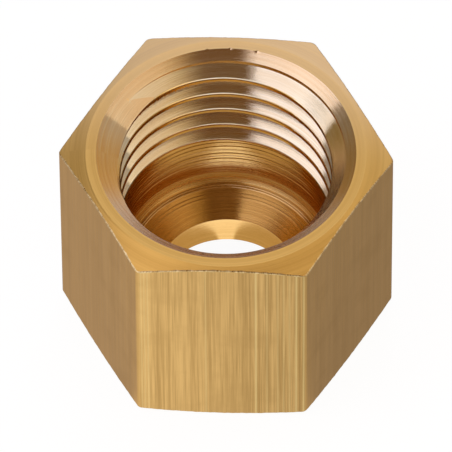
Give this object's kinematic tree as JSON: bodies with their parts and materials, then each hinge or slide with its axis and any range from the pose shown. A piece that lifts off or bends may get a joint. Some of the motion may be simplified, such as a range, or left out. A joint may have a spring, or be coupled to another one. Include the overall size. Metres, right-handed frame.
{
  "type": "union nut",
  "caption": "Hexagon union nut with an internal thread, a conical seat and a tube hole, to clamp a tube in a compression fitting.",
  "frame": {"origin": "centre of the tube end's face, the face that the nut stands on", "axes": "+Z along the thread's axis and out of the threaded mouth; X through two corners of the hexagon; -Y and +Y out of two opposite flats"},
  "size_m": [0.0196, 0.017, 0.0144],
  "materials": {
    "brass": "bare drawn and turned brass, lightly toned, with drawing streaks on the flats and turning rings on the ends and in the bore"
  },
  "bodies": {
    "root": {"union_nut": "brass"}
  },
  "joints": []
}
